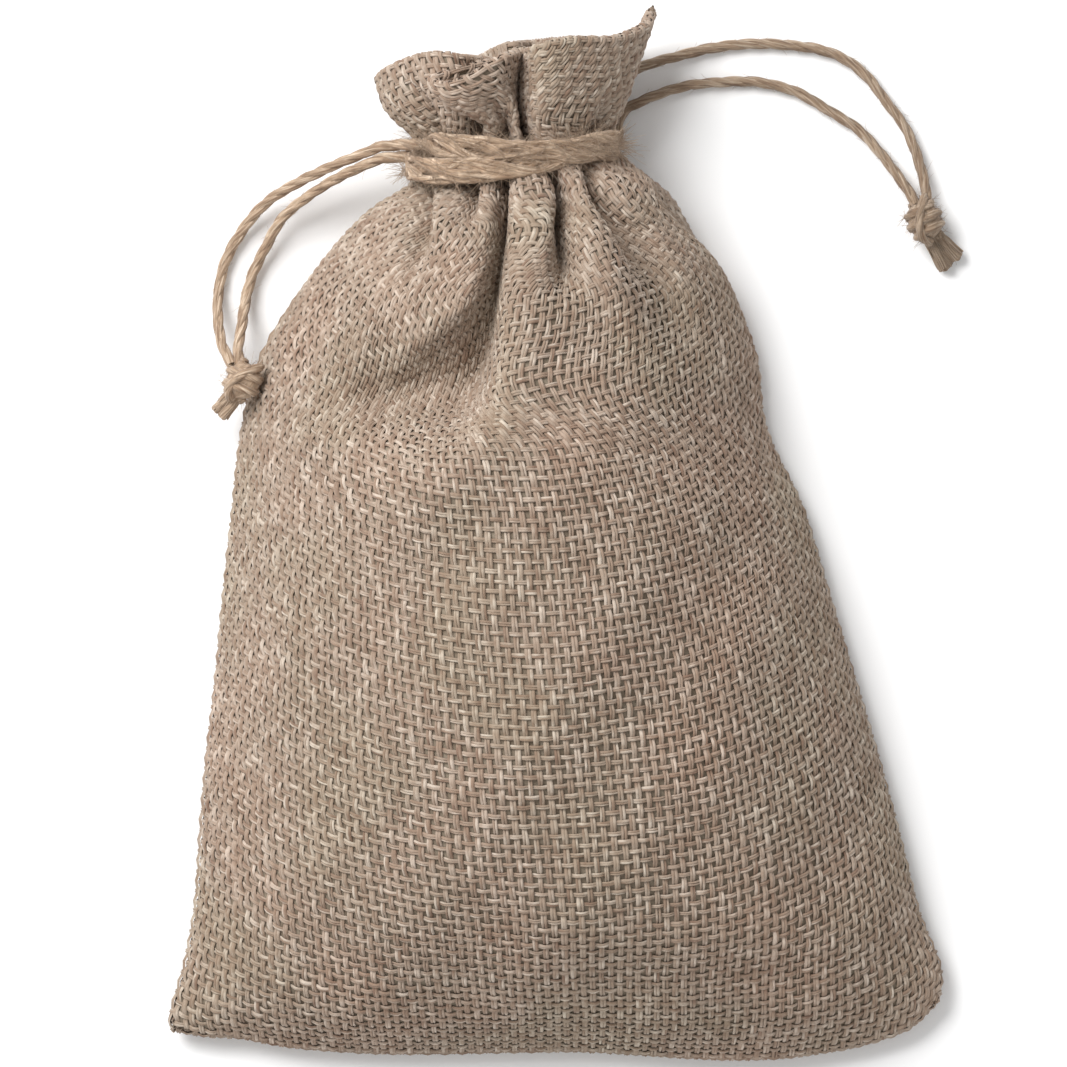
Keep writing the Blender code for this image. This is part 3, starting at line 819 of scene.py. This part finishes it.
def loose_turn(name, path, wide, seed, material):
    """The twine where it is squeezed round the neck: its plies open into a soft band."""
    rng = np.random.default_rng(seed)
    tangent = unit(np.gradient(path, axis=0))
    out = path - np.array((NECK[0], 0.0, NECK[1]))
    out[:, 1] = 0.0
    out = unit(out - tangent * (out * tangent).sum(axis=1, keepdims=True))
    across = np.cross(tangent, out)
    along = run_length(path)
    ends = np.clip(np.minimum(along, along[-1] - along) / 5.0, 0.25, 1.0)
    bundle = Bundle()
    for k in range(LOOSE_PLIES):
        drift = smooth_noise(rng, 3, len(path), 28)
        turn = 2 * math.pi * (k / LOOSE_PLIES + along / LOOSE_LAY)
        place, lift = np.sin(turn + 1.1 * drift[0]), np.cos(turn + 1.1 * drift[1])
        route = (path + across * (place * wide * 0.40 * ends)[:, None]
                 + out * (lift * wide * 0.13 * ends)[:, None])
        radius = wide * 0.11 * (1 + 0.3 * drift[2])
        bundle.add(*rings_along(route, radius, 7, rng.uniform(0, 50)))
    body = np.full(len(path), 0.8 * wide)
    fuzz(bundle, path, body, 24.0, rng, (1.5, 5.0), 0.042, 0.66, 1.0)
    return bundle.make(name, material)


def fuzz(bundle, path, diameter, per_mm, rng, length, thick=0.026, swept=0.68, stray=0.2):
    """Loose fibres that lift off the twine: `swept` of their length runs along it."""
    tangent, one, two = frames_along(path)
    for _ in range(int(run_length(path)[-1] * per_mm)):
        n = int(rng.integers(1, len(path) - 1))
        angle = rng.uniform(0, 2 * math.pi)
        out = one[n] * math.cos(angle) + two[n] * math.sin(angle)
        bend = rng.normal(0, stray)
        way = (tangent[n] * rng.choice((-1, 1)) * math.cos(bend)
               + np.cross(tangent[n], out) * math.sin(bend))
        size = rng.uniform(*length)
        t = np.linspace(0, 1, 6)[:, None]
        curl = rng.normal(0, 0.3, 3)
        lift = out * (0.42 * diameter[n] + size * (1 - swept) * t**1.4)
        strand = path[n] + lift + way * size * swept * t + curl * size * t**2 * 0.5
        strand[:, 2] = np.maximum(strand[:, 2], 0.05)
        bundle.add(*rings_along(strand, thick * (1 - 0.6 * t[:, 0]), 3, rng.uniform(0, 50)))


# The drawcords' routes. The strands repeat the CAD's, run on into the leads and knots.
NECK = (-5.5, 11.2, 12.7, 9.9)      # centre x, z and half sizes of a turn at the waist
LEFT_TURN = (
    (172, 50.1), (135, 49.7), (105, 49.1), (80, 48.7), (55, 48.9), (10, 49.6), (-40, 50.2),
    (-90, 50.3), (-140, 49.6), (-172, 48.55),
)
RIGHT_TURN = (
    (-28, 49.6), (5, 50.2), (40, 49.7), (60, 48.7), (80, 47.5), (105, 46.6), (130, 46.3),
    (155, 46.8), (190, 47.6), (230, 48.4), (270, 48.8), (312, 49.1),
)
LEFT_OUTER = (
    (-21.4, 50.05, 9.9), (-22.6, 49.95, 9.8), (-25.4, 49.0, 8.8), (-30.6, 46.9, 6.4),
    (-34.4, 45.1, 4.5), (-37.8, 43.0, 2.9), (-41.0, 39.5, 1.5), (-43.4, 35.2, 1.05),
    (-44.3, 31.0, 1.3), (-44.2, 27.0, 3.4), (-43.4, 23.6, 5.7), (-42.3, 21.6, 7.1),
)
LEFT_INNER = (
    (-21.4, 48.5, 9.9), (-22.6, 48.4, 9.8), (-25.4, 47.4, 8.8), (-29.3, 45.6, 6.8),
    (-32.8, 43.4, 4.9), (-35.9, 40.8, 3.2), (-38.1, 37.1, 1.9), (-39.9, 33.4, 1.4),
    (-40.8, 29.7, 2.0), (-41.2, 26.6, 4.0), (-41.6, 23.8, 6.0), (-41.4, 21.6, 7.3),
)
RIGHT_UPPER = (
    (6.2, 51.8, 2.9), (6.2, 53.1, 2.8), (7.2, 57.0, 2.2), (9.0, 59.6, 1.8), (11.7, 60.9, 1.4),
    (15.3, 61.9, 1.15), (20.3, 63.1, 1.0), (25.3, 63.6, 0.95), (30.2, 63.4, 0.95),
    (35.8, 62.3, 0.95), (39.6, 59.9, 0.95), (42.5, 56.3, 1.0), (45.2, 52.6, 1.15),
    (46.9, 48.3, 1.5), (47.8, 44.5, 2.1), (47.9, 42.6, 2.6),
)
RIGHT_LOWER = (
    (7.75, 51.8, 2.9), (7.75, 53.1, 2.8), (8.4, 54.6, 2.4), (10.4, 55.9, 2.0), (12.7, 56.9, 1.6),
    (16.7, 58.1, 1.2), (21.3, 58.6, 1.0), (25.8, 58.6, 0.95), (30.8, 57.4, 0.95),
    (35.2, 54.9, 0.95), (39.2, 52.3, 1.0), (42.2, 49.0, 1.2), (44.6, 45.8, 1.7),
    (45.6, 44.3, 2.0), (46.6, 42.6, 2.5),
)
# A cord's two strands, its turn round the neck and its seed.
CORDS = {
    "left": ({"outer": LEFT_OUTER, "inner": LEFT_INNER}, LEFT_TURN, 41),
    "right": ({"lower": RIGHT_LOWER, "upper": RIGHT_UPPER}, RIGHT_TURN, 57),
}


def turn_points(table):
    """A turn round the neck, from (degrees, y): it widens below the waist."""
    cx, cz, wide, high = NECK
    points = []
    for degrees, y in table:
        swell = max(0.0, 48.2 - y)
        a = math.radians(degrees)
        points.append((cx + (wide + 1.1 * swell) * math.cos(a), y,
                       cz + (high + 0.75 * swell) * math.sin(a)))
    return points


def drawcord(side, strands, turn, seed, material, band):
    """One drawcord: from its knot, in along one strand, round the neck and out."""
    (first_name, first), (second_name, second) = strands.items()
    turned = turn_points(turn)
    path = dense(list(reversed(first)) + turned + list(second))
    along = run_length(path)
    lead_in, turn_in, turn_out, lead_out = (
        along[np.argmin(np.linalg.norm(path - np.array(point), axis=1))]
        for point in (first[0], turned[0], turned[-1], second[0]))
    diameter = np.interp(along, (turn_in - EASING, turn_in, turn_out, turn_out + EASING),
                         (TWINE, SQUEEZED, SQUEEZED, TWINE))
    twine = Twine(path, diameter, seed)
    rng = np.random.default_rng(seed + 1)
    cuts = {
        f"{side}_strand_{first_name}": (0, lead_in),
        f"{side}_lead_a": (lead_in, turn_in + LEAD_OVERLAP),
        f"{side}_lead_b": (turn_out - LEAD_OVERLAP, lead_out),
        f"{side}_strand_{second_name}": (lead_out, along[-1]),
    }
    made = {}
    for name, (start, end) in cuts.items():
        hair, long = LEAD_HAIR if "_lead_" in name else STRAND_HAIR
        made[name] = twine.cut(name + "_twine", start, end, material, rng, hair, long)
    i, j = np.searchsorted(along, (turn_in, turn_out))
    made[f"{side}_turn"] = (loose_turn(f"{side}_turn_twine", path[i:j], LOOSE_WIDTH, seed + 2,
                                       band), path[i:j])
    return made


def wound_knot(name, centre, axis, size, turns, seed, material):
    """A tight knot: a full heart, the twine wound over it and one turn locked across."""
    rng = np.random.default_rng(seed)
    axis = unit(np.array(axis, float))
    one = unit(np.cross(axis, (0, 0, 1.0)))
    two = np.cross(axis, one)
    wide, long = size
    bundle = Bundle()
    t = np.linspace(0, 1, 200)
    u = 2 * t - 1
    swell = np.sqrt(np.clip(1 - 0.75 * u**2, 0.02, 1))
    heart = np.array(centre) + axis * (u[::10] * long * 0.40)[:, None]
    ends = np.clip(1.06 - u[::10] ** 6, 0.1, 1)
    bundle.add(*rings_along(heart, (wide / 2 - 0.45) * swell[::10] * ends, 14, seed))
    angle = 2 * math.pi * turns * t
    radius = wide / 2 - 0.62
    wound = (np.array(centre) + axis * (u * long * 0.36)[:, None]
             + (one * np.cos(angle)[:, None] + two * np.sin(angle)[:, None])
             * (radius * swell)[:, None])
    sweep = math.pi * (0.05 + 0.9 * t)
    lock = (np.array(centre) + axis * (0.44 * long * np.cos(sweep))[:, None]
            + one * (0.55 * radius * np.cos(1.5 * sweep))[:, None]
            - two * (1.12 * radius * np.sin(sweep))[:, None])
    for path, thick in ((wound, 1.3), (lock, 1.25)):
        Twine(path, thick, seed + len(path), lay=7.0, ends=(0.2, 0.2)).lay_in(bundle)
        fuzz(bundle, path, np.full(len(path), thick), 7.0, rng, (0.8, 2.8), 0.03, 0.7, 0.9)
    return bundle.make(name, material)


def frayed_tail(name, points, fan, fibres, seed, material):
    """A cut end of twine: its fibres spread by `fan` towards the cut."""
    rng = np.random.default_rng(seed)
    path = dense(points, 0.16)
    t = np.linspace(0, 1, len(path))
    bundle = Bundle()
    splay = 1 + fan * t**1.6
    Twine(path, TWINE * (1 - 0.1 * t), seed, lay=7.5, splay=splay, ends=(1, 0.5)).lay_in(bundle)
    _, one, two = frames_along(path)
    for _ in range(fibres):
        angle = rng.uniform(0, 2 * math.pi)
        out = math.sqrt(rng.uniform(0.15, 1.0)) * TWINE * 0.46
        reach = out * (1 + fan * t**1.5) + 0.12 * smooth_noise(rng, 1, len(path), 10)[0]
        turn = angle + 0.5 * t
        cut = max(6, int(len(path) * rng.uniform(0.93, 1.0)))
        side = one * np.cos(turn)[:, None] + two * np.sin(turn)[:, None]
        strand = path + side * reach[:, None]
        strand[:, 2] = np.maximum(strand[:, 2], 0.12)
        bundle.add(*rings_along(strand[:cut:2], rng.uniform(0.06, 0.13), 4, rng.uniform(0, 50)))
    fuzz(bundle, path, np.full(len(path), TWINE), 3.0, rng, (0.5, 1.5))
    return bundle.make(name, material)


# ---- stitches
SEAM_STITCH = (2.0, 0.5, 0.42)      # length, gap and thickness
CASING_STITCH = (2.2, 0.7, 0.36)
CASING_Y = 52.6


def stitch_row(name, path, stitch, lift, material):
    """Short stitches along a path on the cloth, arched outwards along `lift`."""
    long, gap, thick = stitch
    bundle = Bundle()
    along = run_length(path)
    for n in range(int(along[-1] / (long + gap))):
        start = n * (long + gap)
        at = np.linspace(start, start + long, 9)
        line = np.stack([np.interp(at, along, path[:, k]) for k in range(3)], 1)
        arch = np.sin(np.linspace(0, math.pi, 9)) ** 0.5
        outwards = lift[min(int(len(path) * start / along[-1]), len(path) - 1)]
        line = line + outwards * (0.34 * arch - 0.16)[:, None]
        shape = thick / 2 * np.clip(1.25 * np.sin(np.linspace(0.12, math.pi - 0.12, 9)), 0, 1)
        bundle.add(*rings_along(line, shape, 6, n * 0.7))
    return bundle.make(name, material)


def thread_look():
    """Tan thread with its twist drawn as bands."""
    made, shader, nodes, links = new_material("sewing_thread")
    wave = new_node(nodes, "TexWave", {"Scale": 4.0, "Distortion": 1.5})
    links.new(fibre_vector(nodes), wave.inputs["Vector"])
    ramp = ramp_of(nodes, ((0.2, (0.26, 0.20, 0.145)), (0.8, (0.38, 0.31, 0.24))))
    links.new(wave.outputs["Fac"], ramp.inputs["Fac"])
    links.new(ramp.outputs["Color"], shader.inputs["Base Color"])
    shader.inputs["Roughness"].default_value = 0.55
    return made


# ---- the stage
VIEW_WIDTH = 0.1387         # metres of the table that the camera sees
CAMERA_PLACE = (-0.00325, -0.0002, 1.404)
CAMERA_DISTANCE = 1.4       # to the height that the view's width is measured at
LIGHTS = (("key", 10.4, 0.55, (-0.45, 0.47, 0.70)),
          ("fill", 1.3, 0.80, (0.10, -0.80, 0.45)))


def stage():
    """A pale floor, a key light from the upper left, a weak fill and a long lens above."""
    scene = bpy.context.scene
    bpy.ops.mesh.primitive_plane_add(size=6.0)
    floor = bpy.context.object
    floor.name = "floor"
    paint, shader, _, _ = new_material("floor_paint")
    shader.inputs["Base Color"].default_value = (0.94, 0.94, 0.94, 1)
    shader.inputs["Roughness"].default_value = 0.9
    floor.data.materials.append(paint)

    world = bpy.data.worlds.new("studio")
    scene.world = world
    world.use_nodes = True
    background = world.node_tree.nodes["Background"]
    background.inputs["Color"].default_value = (1, 1, 1, 1)
    background.inputs["Strength"].default_value = 0.56

    aim = bpy.data.objects.new("aim", None)
    scene.collection.objects.link(aim)
    for name, energy, size, place in LIGHTS:
        lamp = bpy.data.lights.new(name, "AREA")
        lamp.energy = energy
        lamp.size = size
        light = bpy.data.objects.new(name, lamp)
        light.location = place
        scene.collection.objects.link(light)
        look = light.constraints.new("TRACK_TO")
        look.target = aim
        look.track_axis = "TRACK_NEGATIVE_Z"
        look.up_axis = "UP_Y"

    camera = bpy.data.cameras.new("camera")
    camera.sensor_width = 36.0
    camera.lens = camera.sensor_width * CAMERA_DISTANCE / VIEW_WIDTH
    camera.clip_end = 20.0
    holder = bpy.data.objects.new("camera", camera)
    holder.location = CAMERA_PLACE
    scene.collection.objects.link(holder)
    scene.camera = holder
    scene.view_settings.view_transform = "Standard"


# ---- putting it together
LEAD_NODES = {"left_lead_a": "left_lead_upper", "left_lead_b": "left_lead_lower",
              "right_lead_a": "right_lead_lower", "right_lead_b": "right_lead_upper"}
# A knot's centre, axis, width and length, turns and seed.
KNOTS = {
    "left": ((-40.9, 19.6, 7.9), (0.5, 0.85, 0.0), (5.3, 6.2), 2.6, 61),
    "right": ((47.6, 40.5, 2.9), (-0.35, 0.93, 0.0), (5.2, 6.6), 3.4, 67),
}
# A tail's route, how far it fans out and how many fibres it has.
TAILS = {
    "left_tail_a": (((-42.1, 18.6, 7.4), (-43.1, 17.4, 6.9), (-43.9, 16.5, 6.1),
                     (-44.6, 15.8, 5.3)), 0.1, 60),
    "left_tail_b": (((-41.4, 18.0, 7.4), (-42.3, 16.7, 6.9), (-43.1, 15.7, 6.1),
                     (-43.7, 14.9, 5.3)), 0.1, 60),
    "right_tail_a": (((47.7, 39.0, 2.6), (48.8, 37.1, 1.9), (49.8, 35.5, 1.4),
                      (50.6, 34.2, 1.0)), 0.55, 110),
    "right_tail_b": (((48.6, 39.6, 2.6), (49.9, 38.0, 1.9), (51.1, 36.6, 1.4),
                      (52.2, 35.6, 1.0)), 0.55, 110),
}


def cover(piece, body, *nodes, slot):
    """The piece rides a body and stands for the nodes. The slot is not used."""
    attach(piece, body)
    if nodes:
        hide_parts(*nodes)
    return piece


def make_panels(yarn, gap_shade):
    """Both panels; returns each one's cloth and outward directions."""
    panels = {}
    for name, front, per_row, sides, seed in (("front_panel", True, 3, 4, 11),
                                              ("back_panel", False, 2, 3, 23)):
        sheet, pieces, cloth, outward = panel_objects(name, front, per_row, sides, seed,
                                                      yarn, gap_shade)
        cover(sheet, "pouch", name, slot="burlap")
        for piece in pieces:
            cover(piece, "pouch", slot="burlap")
        panels[name] = (cloth, outward)
    return panels


def make_stitches(panels, material):
    """Stitches along the seams and the casing."""
    front, back = panels["front_panel"], panels["back_panel"]
    sewn_rows = slice(14, int(GRID_ROWS * 0.74))
    seams = [("left_seam_thread", front, (sewn_rows, 3), SEAM_STITCH),
             ("right_seam_thread", front, (sewn_rows, -4), SEAM_STITCH),
             ("bottom_seam_thread", front, (2, slice(18, -18)), SEAM_STITCH)]
    for name, panel in (("front_casing_thread", front), ("back_casing_thread", back)):
        height = panel[0][:GRID_ROWS, :, 1].mean(axis=1)
        level = int(np.argmin(np.abs(height - CASING_Y)))
        seams.append((name, panel, (level, slice(8, -8)), CASING_STITCH))
    for name, (cloth, outward), where, stitch in seams:
        row = stitch_row(name + "_stitches", cloth[where], stitch, outward[where], material)
        cover(row, "pouch", name, slot="thread")


def make_ends(jutes):
    """The knots and their tails; returns each side's, knot first."""
    ends = {}
    for side, (centre, axis, size, turns, seed) in KNOTS.items():
        knot = wound_knot(f"{side}_knot_wound", centre, axis, size, turns, seed, jutes[side])
        ends[side] = [cover(knot, f"{side}_cord", f"{side}_knot", slot="jute_twine")]
    for n, (name, (points, fan, fibres)) in enumerate(TAILS.items()):
        side = name.split("_")[0]
        tail = frayed_tail(name + "_frayed", points, fan, fibres, 71 + n, jutes[side])
        ends[side].append(cover(tail, f"{side}_cord", name, slot="jute_twine"))
    return ends


def join_cord(side, made):
    """Ties one drawcord's neck turn to the pouch; for its other pieces, hides their CAD parts
    and bakes their placement into their meshes.
    """
    for name, (piece, path) in made.items():
        if name.endswith("_turn"):
            cover(piece, "pouch", f"{side}_neck_loop", slot="jute_twine")
            continue
        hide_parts(LEAD_NODES.get(name, name))
        if name in LEAD_NODES:
            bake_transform(piece)
            continue
        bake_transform(piece)


def main():
    stage()
    # the second material is painted shade for the openings between the yarns
    yarn, gap_shade = yarn_look(), gap_shade_look()
    # two copies of one jute twine: the left cord's is painted paler as painted light, the right
    # cord's is painted darker as painted shade
    jutes = {"left": twine_look("jute_twine", 1.22),
             "right": twine_look("jute_twine_painted_shade", 0.92)}
    band = twine_look("jute_band", 1.36)
    thread = thread_look()
    make_stitches(make_panels(yarn, gap_shade), thread)
    cords = {side: drawcord(side, *parts, jutes[side], band) for side, parts in CORDS.items()}
    ends = make_ends(jutes)
    for side, made in cords.items():
        join_cord(side, made)


main()
